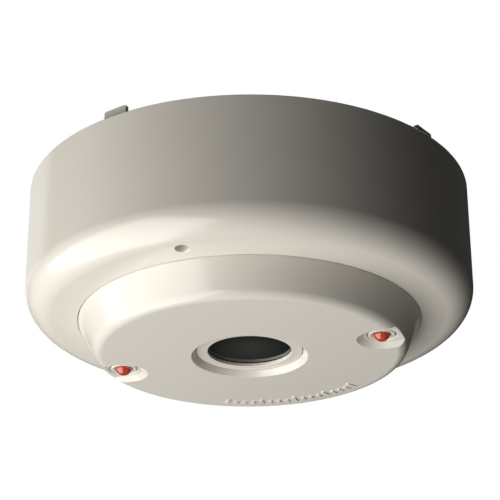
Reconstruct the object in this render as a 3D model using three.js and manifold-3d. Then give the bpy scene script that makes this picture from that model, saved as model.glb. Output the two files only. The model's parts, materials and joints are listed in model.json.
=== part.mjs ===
import * as THREE from "three";
import { mergeVertices } from "three/addons/utils/BufferGeometryUtils.js";
import Module from "manifold-3d";

// A ceiling heat detector: a mounting base with a detector head twisted on to it.
// Millimetres. z = 0 is the ceiling and the detector hangs below it. Azimuth 0 points along -Y and
// grows towards +X, so it turns the way a positive rotation about +Z does.

const wasm = await Module();
wasm.setup();

// Driving dimensions
const outerRadius = 50;
const wallThickness = 2;
const rimZ = -3.5;
const wallEndZ = -27.5;
const shoulderWidth = 6.54;
const shoulderDrop = 6.24;
const openingRadius = 38.2;
const openingZ = -34.2;
const faceZ = -41.7;
const riserTopRadius = 37.95;
const faceEdgeRadius = 34.2;
const faceFillet = 2.8;
const windowMouthRadius = 12.8;
const windowFloorRadius = 11.7;
const windowDepth = 1.27;
const ledRadius = 30.3;
const ledAzimuths = [70.6, -109.4];
const pocketMouthRadius = 5.5;
const pocketFloorRadius = 3.9;
const pocketDepth = 1;
const pocketFloorZ = faceZ + pocketDepth;
const lockRadius = 42.8;
const lockAzimuth = -18.4;
const twistAngle = 18;
const bossRadius = 42;
const bossAzimuths = [15, 135, 255];
const footAzimuths = [-36.5, 53.5, 143.5, 233.5];
const contactAzimuths = [-60, 30, 120, 210];
const boardRadius = 40;
const boardTopZ = -27.3;
const boardBottomZ = -28.9;
const chassisRadius = 47.3;
const chassisTopZ = -15;
const chassisBottomZ = -17;
const bladeFootZ = -14.9;
const bladeThickness = 0.8;
const bladeToeZ = -8.8;
const baseRadius = 46.6;
const baseTopZ = -3;
const baseBottomZ = -5;
const terminalRadius = 37;
const terminalOffset = 38;
const bladeScrewRadius = 27.5;
const touchGap = 0.1;
const shellSegments = 56;

const degrees = Math.PI / 180;

// Solids: each starts as a three.js geometry and becomes a manifold for joins and cuts.

function toSolid(geometry) {
  const bare = geometry.index ? geometry.toNonIndexed() : geometry.clone();
  bare.deleteAttribute("normal");
  bare.deleteAttribute("uv");
  const merged = mergeVertices(bare, 1e-4);
  const index = merged.index.array;
  const corners = [];
  for (let i = 0; i < index.length; i += 3) {
    const [a, b, c] = [index[i], index[i + 1], index[i + 2]];
    if (a !== b && b !== c && c !== a) corners.push(a, b, c);
  }
  const vertProperties = new Float32Array(merged.attributes.position.array);
  const build = (triVerts) => new wasm.Manifold(new wasm.Mesh({ numProp: 3, vertProperties, triVerts }));
  const solid = build(new Uint32Array(corners));
  return solid.volume() > 0 ? solid : build(new Uint32Array(corners.reverse()));
}

function toGeometry(solid) {
  const { vertProperties, triVerts } = solid.getMesh();
  const geometry = new THREE.BufferGeometry();
  geometry.setAttribute("position", new THREE.BufferAttribute(new Float32Array(vertProperties), 3));
  geometry.setIndex(new THREE.BufferAttribute(new Uint32Array(triVerts), 1));
  const flat = geometry.toNonIndexed();
  flat.computeVertexNormals();
  return flat;
}

// A profile of [radius, z] points turned about the Z axis; one that stays off the axis is closed.
function turned(profile, segments = 48) {
  const onAxis = profile[0][0] === 0 && profile.at(-1)[0] === 0;
  const points = (onAxis ? profile : [...profile, profile[0]]).map(([r, z]) => new THREE.Vector2(r, z));
  return toSolid(new THREE.LatheGeometry(points, segments).rotateX(Math.PI / 2));
}

function ring(innerR, outerR, lowZ, highZ, segments = 48) {
  return turned([[innerR, lowZ], [outerR, lowZ], [outerR, highZ], [innerR, highZ]], segments);
}

// A cylinder, or a cone when two radii are given, standing along Z at a polar place.
function post(radius, lowZ, highZ, place = { r: 0, azimuth: 0 }, segments = 20, topRadius = radius) {
  const geometry = new THREE.CylinderGeometry(topRadius, radius, highZ - lowZ, segments);
  geometry.rotateX(Math.PI / 2);
  const { x, y } = polar(place.r, place.azimuth);
  return toSolid(geometry.translate(x, y, (lowZ + highZ) / 2));
}

function block([x0, x1], [y0, y1], [z0, z1], azimuth = 0) {
  const geometry = new THREE.BoxGeometry(x1 - x0, y1 - y0, z1 - z0);
  geometry.translate((x0 + x1) / 2, (y0 + y1) / 2, (z0 + z1) / 2);
  return toSolid(geometry.rotateZ(azimuth * degrees));
}

// A plate that fills a sector between two radii and two azimuths.
function sector(innerR, outerR, [fromAzimuth, toAzimuth], lowZ, highZ, stepDegrees = 6) {
  const steps = Math.max(1, Math.round((toAzimuth - fromAzimuth) / stepDegrees));
  const arc = (radius) => Array.from({ length: steps + 1 }, (_, i) => {
    const { x, y } = polar(radius, fromAzimuth + ((toAzimuth - fromAzimuth) * i) / steps);
    return new THREE.Vector2(x, y);
  });
  const outline = new THREE.Shape([...arc(outerR), ...arc(innerR).reverse()]);
  const geometry = new THREE.ExtrudeGeometry(outline, { depth: highZ - lowZ, bevelEnabled: false });
  return toSolid(geometry.translate(0, 0, lowZ));
}

// A flat plate whose outline lies in the radial plane, [y, z] points, with its width along X.
function sideProfile(points, width, azimuth = 0) {
  const outline = new THREE.Shape(points.map(([y, z]) => new THREE.Vector2(y, z)));
  const geometry = new THREE.ExtrudeGeometry(outline, { depth: width, bevelEnabled: false });
  geometry.rotateX(Math.PI / 2);
  geometry.rotateZ(Math.PI / 2);
  return toSolid(geometry.translate(-width / 2, 0, 0).rotateZ(azimuth * degrees));
}

function polar(r, azimuth) {
  return { x: r * Math.sin(azimuth * degrees), y: -r * Math.cos(azimuth * degrees) };
}

function arcPoints(centre, radii, [from, to], steps) {
  return Array.from({ length: steps + 1 }, (_, i) => {
    const angle = (from + ((to - from) * i) / steps) * degrees;
    return [centre[0] + radii[0] * Math.cos(angle), centre[1] + radii[1] * Math.sin(angle)];
  });
}

const joined = (solids) => solids.reduce((whole, solid) => whole.add(solid));
const cutFrom = (solid, tools) => tools.reduce((left, tool) => left.subtract(tool), solid);

// The same upright cylinder repeated at each azimuth.
function postsAt(azimuths, r, radius, lowZ, highZ, segments = 16) {
  return azimuths.map((azimuth) => post(radius, lowZ, highZ, { r, azimuth }, segments));
}

// Materials

const plastics = {
  ivory: { color: 0xe9e6dd, roughness: 0.32, metalness: 0 },
  base: { color: 0xdad6cc, roughness: 0.45, metalness: 0 },
  insert: { color: 0xf1efe8, roughness: 0.25, metalness: 0 },
  black: { color: 0x1b1b1d, roughness: 0.5, metalness: 0 },
  lens: { color: 0xd8321e, roughness: 0.15, metalness: 0 },
  window: { color: 0x141414, roughness: 0.08, metalness: 0 },
  rubber: { color: 0x2a2a2a, roughness: 0.8, metalness: 0 },
  board: { color: 0x1f6b3a, roughness: 0.45, metalness: 0 },
  paper: { color: 0xf2f2ee, roughness: 0.6, metalness: 0 },
  ceramic: { color: 0xb9843c, roughness: 0.5, metalness: 0 },
};
const metals = {
  steel: { color: 0xb9bcc0, roughness: 0.3, metalness: 1 },
  brass: { color: 0xc9a24a, roughness: 0.3, metalness: 1 },
  tin: { color: 0xcfd1d2, roughness: 0.35, metalness: 1 },
};
const finishes = { ...plastics, ...metals };

const detector = new THREE.Group();
const head = new THREE.Group();
const base = new THREE.Group();
detector.add(base, head);

function addPart(parent, name, solid, finish, azimuth = 0) {
  const mesh = new THREE.Mesh(toGeometry(solid), new THREE.MeshStandardMaterial(finishes[finish]));
  mesh.name = name;
  mesh.rotation.z = azimuth * degrees;
  parent.add(mesh);
}

// Outer cover: skirt, shoulder and opening, with screw bosses and the tool tube inside

function outerCover() {
  const shoulderCentre = [outerRadius - shoulderWidth, wallEndZ];
  const innerRadius = outerRadius - wallThickness;
  const lipThickness = 1.6;
  const shell = turned([
    [innerRadius, rimZ],
    [outerRadius - 0.2, rimZ],
    [outerRadius, rimZ - 0.2],
    ...arcPoints(shoulderCentre, [shoulderWidth, shoulderDrop], [0, -90], 7),
    [openingRadius + 0.4, openingZ + 0.04],
    [openingRadius, openingZ + 0.4],
    [openingRadius, openingZ + 2.4],
    [openingRadius + 3.6, openingZ + 2.4],
    ...arcPoints(shoulderCentre, [shoulderWidth - wallThickness, shoulderDrop - lipThickness], [-90, 0], 4),
  ], shellSegments);
  const bossTopZ = -19.5;
  const bossOuterRadius = 3;
  const bossHoleRadius = 1.45;
  const tubeTopZ = -21;
  const tubeOuterRadius = 2.4;
  const toolHoleRadius = 1.5;
  const lock = { r: lockRadius, azimuth: lockAzimuth };
  const bosses = postsAt(bossAzimuths, bossRadius, bossOuterRadius, -32.6, bossTopZ);
  const bossHoles = postsAt(bossAzimuths, bossRadius, bossHoleRadius, -31, bossTopZ + 1, 12);
  const tube = post(tubeOuterRadius, -32.4, tubeTopZ, lock, 16);
  const toolHole = post(toolHoleRadius, -40, tubeTopZ + 1, lock, 16);
  return cutFrom(joined([shell, ...bosses, tube]), [...bossHoles, toolHole]);
}

addPart(head, "outer_cover", outerCover(), "ivory");

// Front cap: a flange inside the cover, a wall leaning in through its opening and a rounded edge, with
// the window's mouth and the indicators' pockets in its face

// The recess round an indicator: its wall slopes and its outer side runs out through the cap's edge.
function pocket(azimuth) {
  const runOut = 4;
  const outsideRadius = pocketMouthRadius + (pocketMouthRadius - pocketFloorRadius) / pocketDepth;
  const ends = [ledRadius, ledRadius + runOut].map((r) =>
    post(outsideRadius, faceZ - 1, pocketFloorZ, { r, azimuth }, 28, pocketFloorRadius));
  return wasm.Manifold.hull(ends);
}

function frontCap() {
  const wall = 2;
  const flangeRadius = 41.5;
  const flangeTopZ = -30;
  const flangeBottomZ = openingZ + 2.6;
  const innerTopRadius = riserTopRadius - wall;
  const innerFaceZ = faceZ + wall;
  const lean = Math.atan2(riserTopRadius - faceEdgeRadius, openingZ - faceZ);
  const filletInset = (faceFillet * (1 - Math.sin(lean))) / Math.cos(lean);
  const filletCentre = [faceEdgeRadius - filletInset, faceZ + faceFillet];
  const shell = turned([
    [0, faceZ],
    ...arcPoints(filletCentre, [faceFillet, faceFillet], [-90, -lean / degrees], 5),
    [riserTopRadius, openingZ],
    [riserTopRadius, flangeBottomZ],
    [flangeRadius, flangeBottomZ],
    [flangeRadius, flangeTopZ],
    [innerTopRadius, flangeTopZ],
    [faceEdgeRadius - wall, innerFaceZ + 1],
    [faceEdgeRadius - wall - 1, innerFaceZ],
    [0, innerFaceZ],
  ], shellSegments);
  const collarTopZ = -36.5;
  const collarRadius = windowMouthRadius + 1.1;
  const collar = ring(windowFloorRadius + 0.2, collarRadius, faceZ + 1, collarTopZ, 48);
  const mouth = turned([
    [0, faceZ - 1],
    [windowMouthRadius + 0.25, faceZ - 1],
    [windowMouthRadius + 0.25, faceZ - 0.001],
    [windowFloorRadius + 0.2, faceZ + windowDepth],
    [windowFloorRadius + 0.2, collarTopZ + 1],
    [0, collarTopZ + 1],
  ], 48);
  const insertHoleRadius = 3.2;
  const padRadius = pocketMouthRadius + 1;
  const pads = postsAt(ledAzimuths, ledRadius - 1.5, padRadius, faceZ + 1.6, faceZ + 3.2, 24);
  const padEnvelope = post(faceEdgeRadius + 0.1, -45, -30, undefined, shellSegments);
  const pockets = ledAzimuths.map(pocket);
  const insertHoles = postsAt(ledAzimuths, ledRadius, insertHoleRadius, faceZ - 1, faceZ + 6, 28);
  const notches = postsAt(bossAzimuths, bossRadius, 3.4, -33, -29);
  const lockNotch = postsAt([lockAzimuth], lockRadius, 2.9, -33, -29, 20);
  const body = joined([shell, collar, joined(pads).intersect(padEnvelope)]);
  return cutFrom(body, [mouth, ...pockets, ...insertHoles, ...notches, ...lockNotch]);
}

addPart(head, "front_cap", frontCap(), "ivory");

// Window: bezel ring, dark window, gasket, sensor tube and sensor can

const bezelFaceZ = faceZ + windowDepth;
const bezel = turned([
  [9.3, bezelFaceZ],
  [windowFloorRadius, bezelFaceZ],
  [windowFloorRadius, -37.2],
  [10.9, -37.2],
  [10.9, -39.6],
  [9.3, -39.6],
], 48);
addPart(head, "window_bezel", bezel, "ivory");
addPart(head, "sensor_window", post(10.7, -39.5, -38.1, undefined, 48), "window");
addPart(head, "window_gasket", ring(8.2, 10.7, -38, -37.2, 36), "rubber");

const holder = turned([
  [7.4, -37.1],
  [11.6, -37.1],
  [11.6, -36.3],
  [9, -36.3],
  [9, boardBottomZ - 1.1],
  [10, boardBottomZ - 1.1],
  [10, boardBottomZ - touchGap],
  [7.4, boardBottomZ - touchGap],
], 36);
addPart(head, "sensor_holder", holder, "black");

const sensorLeadAzimuths = [45, 135, 225, 315];
const sensorLeadCircle = 2.5;
const sensorCan = joined([
  post(5.2, -31.2, -30.6, undefined, 32),
  post(4.6, -35.4, -31, undefined, 32),
  ...postsAt(sensorLeadAzimuths, sensorLeadCircle, 0.23, -30.7, -26.9, 8),
]);
addPart(head, "sensor_can", sensorCan, "tin");

// Indicators: insert, lens and diode at each pocket

const insertTopZ = faceZ + 5.4;

function ledInsert() {
  return turned([
    [1.95, pocketFloorZ],
    [2.8, pocketFloorZ],
    [2.95, pocketFloorZ + 0.15],
    [2.95, insertTopZ],
    [2.2, insertTopZ],
    [2.2, pocketFloorZ + 1.2],
    [1.95, pocketFloorZ + 1.2],
  ], 24).translate([0, -ledRadius, 0]);
}

function ledLens() {
  return turned([
    [0, faceZ - 0.25],
    [0.6, faceZ - 0.15],
    [1.1, faceZ + 0.15],
    [1.6, faceZ + 0.65],
    [1.85, pocketFloorZ],
    [1.85, pocketFloorZ + 1.3],
    [2.1, pocketFloorZ + 1.3],
    [2.1, pocketFloorZ + 2.1],
    [0, pocketFloorZ + 2.1],
  ], 20).translate([0, -ledRadius, 0]);
}

function led() {
  const dome = turned([
    [0, pocketFloorZ + 2.25],
    [0.9, pocketFloorZ + 2.5],
    [1.5, pocketFloorZ + 3.3],
    [1.5, pocketFloorZ + 6],
    [1.9, pocketFloorZ + 6],
    [1.9, pocketFloorZ + 7],
    [0, pocketFloorZ + 7],
  ], 16).translate([0, -ledRadius, 0]);
  const leadHalf = 0.22;
  const leadDepth = [-ledRadius - leadHalf, -ledRadius + leadHalf];
  const leads = [-0.635, 0.635].map((x) =>
    block([x - leadHalf, x + leadHalf], leadDepth, [pocketFloorZ + 6.8, boardTopZ + 0.8]));
  return joined([dome, ...leads]);
}

ledAzimuths.forEach((azimuth, i) => {
  addPart(head, `led_insert_${i + 1}`, ledInsert(), "insert", azimuth);
  addPart(head, `led_lens_${i + 1}`, ledLens(), "lens", azimuth);
  addPart(head, `led_${i + 1}`, led(), "lens", azimuth);
});

// Circuit board and its components

const postSpan = [-32, -31];
const postHalf = 0.5;
const postClearance = 0.2;
const sensorLeadHole = 0.45;

// The slot that a contact post passes through, in the board and in the chassis.
function postSlot(azimuth, lowZ, highZ) {
  const across = postHalf + postClearance;
  const along = [postSpan[0] - postClearance, postSpan[1] + postClearance];
  return block([-across, across], along, [lowZ, highZ], azimuth);
}

function mainBoard() {
  const disc = post(boardRadius, boardBottomZ, boardTopZ, undefined, 48);
  const notches = postsAt(bossAzimuths, bossRadius, 3.6, -30, -26);
  const leadHoles = postsAt(sensorLeadAzimuths, sensorLeadCircle, sensorLeadHole, -30, -26, 8);
  const ledHoles = ledAzimuths.map((azimuth) =>
    block([-1.2, 1.2], [-ledRadius - 0.5, -ledRadius + 0.5], [-30, -26], azimuth));
  const postHoles = contactAzimuths.map((azimuth) => postSlot(azimuth, -30, -26));
  return cutFrom(disc, [...notches, ...leadHoles, ...ledHoles, ...postHoles]);
}

addPart(head, "main_pcb", mainBoard(), "board");

const onBoardZ = boardTopZ + touchGap;
const underBoardZ = boardBottomZ - touchGap;

function shieldCan() {
  const outside = block([-9, 9], [-7, 7], [onBoardZ, onBoardZ + 3.4]);
  const inside = block([-8.6, 8.6], [-6.6, 6.6], [onBoardZ - 1, onBoardZ + 3]);
  return outside.subtract(inside).translate([-16, 8, 0]);
}

function storageCapacitor() {
  const can = turned([
    [0, 0],
    [3.8, 0],
    [4, 0.2],
    [4, 1.4],
    [3.75, 1.7],
    [4, 2],
    [4, 7],
    [3.7, 7.3],
    [0, 7.3],
  ], 24);
  return can.translate([16, 14, onBoardZ]);
}

function surgeSuppressor() {
  const disc = post(4, 0, 2.6, undefined, 24).rotate([90, 0, 0]);
  const legs = [-2.2, 2.2].map((x) => block([x - 0.3, x + 0.3], [-1.6, -1], [-4.6, -2]));
  return joined([disc, ...legs]).translate([18, -6, onBoardZ + 4.6]);
}

const chipTopZ = onBoardZ + 1.2;
const thermistor = post(1.3, underBoardZ - 2.2, underBoardZ, { r: 24, azimuth: 150 }, 16);
addPart(head, "shield_can", shieldCan(), "tin");
addPart(head, "microcontroller", block([-1.5, 5.5], [16.5, 23.5], [onBoardZ, chipTopZ]), "black");
addPart(head, "storage_capacitor", storageCapacitor(), "black");
addPart(head, "surge_suppressor", surgeSuppressor(), "ceramic");
addPart(head, "thermistor", thermistor, "black");
addPart(head, "crystal", block([8, 12.6], [24, 26], [onBoardZ, chipTopZ]), "tin");

// Rear chassis: disc with counterbored screw bosses, a rim and board supports

const counterboreZ = -17.8;

function rearChassis() {
  const boltBottomZ = -19.3;
  const throughZ = chassisTopZ + 1;
  const disc = post(chassisRadius, chassisBottomZ, chassisTopZ, undefined, 48);
  const bosses = postsAt(bossAzimuths, bossRadius, 4.2, boltBottomZ, chassisBottomZ + 1);
  const bores = postsAt(bossAzimuths, bossRadius, 1.7, boltBottomZ - 1, throughZ);
  const counterbores = postsAt(bossAzimuths, bossRadius, 3.3, counterboreZ, throughZ);
  const skirt = ring(36.4, 38, boardTopZ + touchGap, chassisBottomZ + 1);
  const posts = contactAzimuths.map((azimuth) => postSlot(azimuth, -30, throughZ));
  const bladeHoles = postsAt(contactAzimuths, bladeScrewRadius, 1.15, -40, throughZ);
  const bladeBossBottomZ = chassisBottomZ - 2.4;
  const bladeBosses = postsAt(contactAzimuths, bladeScrewRadius, 2.6, bladeBossBottomZ, chassisBottomZ + 0.5);
  const bushHole = postsAt([lockAzimuth], lockRadius, 2.7, -40, throughZ, 20);
  const body = joined([disc, skirt, ...bosses, ...bladeBosses]);
  return cutFrom(body, [...bores, ...counterbores, ...posts, ...bladeHoles, ...bushHole]);
}

addPart(head, "rear_chassis", rearChassis(), "black");

const label = sector(8, 24, [150, 210], chassisTopZ + touchGap / 2, chassisTopZ + 0.25);
addPart(head, "rating_label", label, "paper");

// Pan-head screw: threads are left plain. It points down, with its head resting at headZ.
function panScrew(headRadius, headHeight, shankRadius, headZ, tipZ, segments = 14) {
  const body = turned([
    [0, tipZ],
    [shankRadius * 0.6, tipZ],
    [shankRadius, tipZ + 0.8],
    [shankRadius, headZ],
    [headRadius, headZ],
    [headRadius, headZ + headHeight * 0.55],
    [headRadius * 0.72, headZ + headHeight],
    [0, headZ + headHeight],
  ], segments);
  const slotHalf = headRadius * 0.14;
  const reach = headRadius * 0.62;
  const slotFloor = headZ + headHeight * 0.45;
  const across = block([-reach, reach], [-slotHalf, slotHalf], [slotFloor, headZ + headHeight + 1]);
  const along = block([-slotHalf, slotHalf], [-reach, reach], [slotFloor, headZ + headHeight + 1]);
  return body.subtract(across.add(along));
}

bossAzimuths.forEach((azimuth, i) => {
  const screw = panScrew(2.9, 2, 1.3, counterboreZ + touchGap, -27).translate([0, -bossRadius, 0]);
  addPart(head, `chassis_screw_${i + 1}`, screw, "steel", azimuth);
});

// Contact blades: foot on the chassis, web, and a toe that hooks over the base's contact strip

function contactBlade() {
  const top = bladeFootZ + bladeThickness;
  const webOuter = -33.8;
  const webInner = webOuter + bladeThickness;
  const toeTop = bladeToeZ + bladeThickness;
  const bent = sideProfile([
    [-24.4, bladeFootZ],
    [webOuter, bladeFootZ],
    [webOuter, bladeToeZ],
    [-37.4, bladeToeZ],
    [-37.4, toeTop],
    [webInner, toeTop],
    [webInner, top],
    [-24.4, top],
  ], 7);
  const screwHole = post(1.25, bladeFootZ - 1, top + 1, { r: bladeScrewRadius, azimuth: 0 }, 16);
  return bent.subtract(screwHole);
}

function contactPost() {
  return block([-postHalf, postHalf], postSpan, [boardBottomZ - 1, bladeFootZ - touchGap]);
}

contactAzimuths.forEach((azimuth, i) => {
  addPart(head, `contact_blade_${i + 1}`, contactBlade(), "brass", azimuth);
  const screw = panScrew(2.3, 1.4, 1, bladeFootZ + bladeThickness + touchGap, -19.2, 12);
  addPart(head, `blade_screw_${i + 1}`, screw.translate([0, -bladeScrewRadius, 0]), "steel", azimuth);
  addPart(head, `contact_post_${i + 1}`, contactPost(), "brass", azimuth);
});

// Locking screw and its brass bush, in line with the tool hole

const bushTube = ring(1.4, 2.6, -18.4, chassisTopZ + 0.1, 16);
const bushFlange = ring(1.4, 3.2, -18.9, chassisBottomZ - touchGap, 16);
const lockBush = bushTube.add(bushFlange);
const lockScrew = turned([
  [0, -18.4],
  [0.75, -18.4],
  [0.75, -19.9],
  [1.25, -19.6],
  [1.25, -15.1],
  [0.9, -14.6],
  [0, -14.6],
], 16);
addPart(head, "lock_bush", lockBush.translate([0, -lockRadius, 0]), "brass", lockAzimuth);
addPart(head, "lock_screw", lockScrew.translate([0, -lockRadius, 0]), "steel", lockAzimuth);

// Dust seal between the head and the base's rim

const sealRadius = 46;
const sealSection = 0.85;
const sealZ = -13.95;
const seal = turned(arcPoints([sealRadius, sealZ], [sealSection, sealSection], [0, 300], 5));
addPart(base, "dust_seal", seal, "rubber");

// Mounting base: disc, rim, feet, fixing slots, cable entry, terminal bosses and lock lug

const footWidth = 5.9;
const footThickness = 1;
const cableEntryRadius = 12;
const slotAzimuths = [0, 180];
const lugAzimuth = lockAzimuth + twistAngle;
const lugBottomZ = -13.1;
const terminalAzimuths = contactAzimuths.map((azimuth) => azimuth + terminalOffset);

function foot(azimuth) {
  const half = footWidth / 2;
  const corner = 0.35;
  const outline = new THREE.Shape([
    [-half, baseBottomZ],
    [half, baseBottomZ],
    ...arcPoints([half - corner, -corner], [corner, corner], [0, 90], 4),
    ...arcPoints([corner - half, -corner], [corner, corner], [90, 180], 4),
  ].map(([x, z]) => new THREE.Vector2(x, z)));
  const geometry = new THREE.ExtrudeGeometry(outline, { depth: footThickness, bevelEnabled: false });
  geometry.rotateX(Math.PI / 2);
  geometry.translate(0, -chassisRadius + footThickness, 0);
  return toSolid(geometry.rotateZ(azimuth * degrees));
}

// A slot with round ends that runs along the radius, as a solid for the boss or for the cut.
function slotSolid(halfWidth, [nearRadius, farRadius], lowZ, highZ, azimuth) {
  return joined([
    block([-halfWidth, halfWidth], [-farRadius, -nearRadius], [lowZ, highZ], azimuth),
    post(halfWidth, lowZ, highZ, { r: nearRadius, azimuth }, 16),
    post(halfWidth, lowZ, highZ, { r: farRadius, azimuth }, 16),
  ]);
}

function baseMoulding() {
  const rimBottomZ = -12.9;
  const dish = turned([
    [0, baseBottomZ],
    [baseRadius - 1.4, baseBottomZ],
    [baseRadius - 1.4, rimBottomZ],
    [baseRadius, rimBottomZ],
    [baseRadius, baseTopZ],
    [0, baseTopZ],
  ]);
  const entryCollar = ring(cableEntryRadius, cableEntryRadius + 1.6, baseBottomZ - 1.5, baseTopZ + 0.5, 36);
  const entry = post(cableEntryRadius, baseBottomZ - 3, baseTopZ + 3, undefined, 36);
  const slotSpan = [21.5, 27.5];
  const slotBosses = slotAzimuths.map((azimuth) => slotSolid(4.4, slotSpan, baseBottomZ, 0, azimuth));
  const slots = slotAzimuths.map((azimuth) => slotSolid(2.1, slotSpan, baseBottomZ - 1, 1, azimuth));
  const terminalBosses = postsAt(terminalAzimuths, terminalRadius, 3.4, baseBottomZ, -0.8, 20);
  const terminalHoles = postsAt(terminalAzimuths, terminalRadius, 1.9, baseBottomZ - 1, -1.6);
  const lug = postsAt([lugAzimuth], lockRadius, 3, lugBottomZ, baseBottomZ + 0.5, 20);
  const lugHole = postsAt([lugAzimuth], lockRadius, 1.9, lugBottomZ - 1, -7);
  const feet = footAzimuths.map(foot);
  const body = joined([dish, entryCollar, ...feet, ...slotBosses, ...terminalBosses, ...lug]);
  return cutFrom(body, [entry, ...slots, ...terminalHoles, ...lugHole]);
}

addPart(base, "base_moulding", baseMoulding(), "base");

// Contact strips: a leaf under the blade's toe, bent up and back to a pad at the terminal

const stripSpan = [34.4, 39.6];
const stripThickness = 0.5;
const leafZ = -9.7;
const padZ = baseBottomZ - touchGap - 0.8;

function contactStrip() {
  const leaf = sector(...stripSpan, [8, 26.2], leafZ, leafZ + stripThickness, 4.6);
  const riser = sector(...stripSpan, [25.3, 26.2], leafZ, padZ + 0.8, 1);
  const pad = sector(...stripSpan, [25.3, 46], padZ, padZ + 0.8, 5.2);
  const hole = post(1.9, padZ - 1, padZ + 2, { r: terminalRadius, azimuth: terminalOffset }, 16);
  return joined([leaf, riser, pad]).subtract(hole);
}

// Terminals: a clamping plate and the screw that closes it, both below the pad

const clampTopZ = padZ - 0.2;
const clampBottomZ = clampTopZ - 1;

function terminalClamp() {
  const [halfWidth, halfDepth] = [3.1, 2.6];
  const along = [-terminalRadius - halfDepth, -terminalRadius + halfDepth];
  const plate = block([-halfWidth, halfWidth], along, [clampBottomZ, clampTopZ]);
  const hole = post(1.6, clampBottomZ - 1, clampTopZ + 1, { r: terminalRadius, azimuth: 0 }, 16);
  return plate.subtract(hole);
}

function terminalScrew() {
  const upright = panScrew(2.8, 2, 1.45, touchGap - clampBottomZ, 2.2);
  return upright.rotate([180, 0, 0]).translate([0, -terminalRadius, 0]);
}

contactAzimuths.forEach((azimuth, i) => {
  addPart(base, `contact_strip_${i + 1}`, contactStrip(), "brass", azimuth);
  addPart(base, `terminal_clamp_${i + 1}`, terminalClamp(), "steel", azimuth + terminalOffset);
  addPart(base, `terminal_screw_${i + 1}`, terminalScrew(), "steel", azimuth + terminalOffset);
});

export default detector;
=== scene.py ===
import json
import math

import bmesh
import bpy
from mathutils import Matrix, Vector


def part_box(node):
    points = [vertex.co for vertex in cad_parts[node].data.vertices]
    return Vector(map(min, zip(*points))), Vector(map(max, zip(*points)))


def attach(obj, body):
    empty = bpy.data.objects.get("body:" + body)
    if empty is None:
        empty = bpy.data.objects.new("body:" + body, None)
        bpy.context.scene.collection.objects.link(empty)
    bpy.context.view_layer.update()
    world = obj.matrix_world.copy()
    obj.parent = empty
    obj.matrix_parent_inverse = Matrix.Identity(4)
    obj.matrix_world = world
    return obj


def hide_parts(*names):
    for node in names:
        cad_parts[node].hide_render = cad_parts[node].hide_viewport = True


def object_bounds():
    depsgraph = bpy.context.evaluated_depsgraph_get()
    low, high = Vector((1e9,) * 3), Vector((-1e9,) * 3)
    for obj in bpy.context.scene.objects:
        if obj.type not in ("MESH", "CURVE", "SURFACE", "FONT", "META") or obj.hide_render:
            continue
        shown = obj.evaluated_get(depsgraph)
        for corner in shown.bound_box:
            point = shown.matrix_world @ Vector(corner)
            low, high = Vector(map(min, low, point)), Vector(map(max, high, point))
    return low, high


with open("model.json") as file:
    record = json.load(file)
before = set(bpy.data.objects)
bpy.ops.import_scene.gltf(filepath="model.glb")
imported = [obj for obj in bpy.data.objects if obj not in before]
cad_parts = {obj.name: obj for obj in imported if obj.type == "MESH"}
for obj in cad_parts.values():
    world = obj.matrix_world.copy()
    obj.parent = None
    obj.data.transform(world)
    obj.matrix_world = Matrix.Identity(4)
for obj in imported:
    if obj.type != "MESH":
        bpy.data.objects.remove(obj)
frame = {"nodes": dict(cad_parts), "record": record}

cadLow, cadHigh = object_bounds()
mm = 0.001
nodes = frame["nodes"]


# camera, lights, floor and world; places in mm, angles in degrees

camera = {
    "lens": 121.86,
    "target": (0, 0, -28.8),
    "distance": 380.08,
    "elevation": -22.763,
    "yaw": 0.0005,
    "pitch": 0.0315,
    "roll": -0.0054,
}


def makeCamera(s):
    data = bpy.data.cameras.new("viewCamera")
    data.lens = s["lens"]
    data.clip_start, data.clip_end = 0.01, 20
    cam = bpy.data.objects.new("viewCamera", data)
    bpy.context.scene.collection.objects.link(cam)
    tilt = math.radians(-s["elevation"])
    forward = Vector((0, math.cos(tilt), math.sin(tilt)))
    cam.location = Vector(s["target"]) * mm - forward * s["distance"] * mm
    right, up = Vector((1, 0, 0)), Vector((0, -math.sin(tilt), math.cos(tilt)))
    forward = (forward + right * s["yaw"] + up * s["pitch"]).normalized()
    right = forward.cross(up).normalized()
    up = right.cross(forward)
    rolledRight = right * math.cos(s["roll"]) + up * math.sin(s["roll"])
    rolledUp = up * math.cos(s["roll"]) - right * math.sin(s["roll"])
    basis = Matrix((rolledRight, rolledUp, -forward)).transposed()
    cam.rotation_mode = "QUATERNION"
    cam.rotation_quaternion = basis.to_quaternion()
    bpy.context.scene.camera = cam


lights = {
    "key": {"place": (-322, -150, -294), "aim": (0, -150, -24), "size": (700, 550), "watts": 3.86,
            "tint": (1.0, 0.985, 0.965)},
    "edge": {"place": (-340, 500, 330), "aim": (0, 0, -24), "size": (520, 420), "watts": 0.5,
             "tint": (1.0, 0.99, 0.98)},
    "back": {"place": (120, 420, 520), "aim": (0, 0, -24), "size": (420, 420), "watts": 2.2,
             "tint": (1.0, 0.99, 0.98)},
}


def makeLight(name, s):
    data = bpy.data.lights.new(name, "AREA")
    data.shape = "RECTANGLE"
    data.size, data.size_y = (side * mm for side in s["size"])
    data.energy = s["watts"]
    data.color = s["tint"]
    lamp = bpy.data.objects.new(name, data)
    lamp.location = Vector(s["place"]) * mm
    lamp.rotation_euler = (Vector(s["aim"]) * mm - lamp.location).to_track_quat("-Z", "Y").to_euler()
    bpy.context.scene.collection.objects.link(lamp)


world = {"seen": (1.0, 1.0, 1.0), "light": (0.95, 0.97, 1.0), "lightStrength": 0.014}


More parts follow.
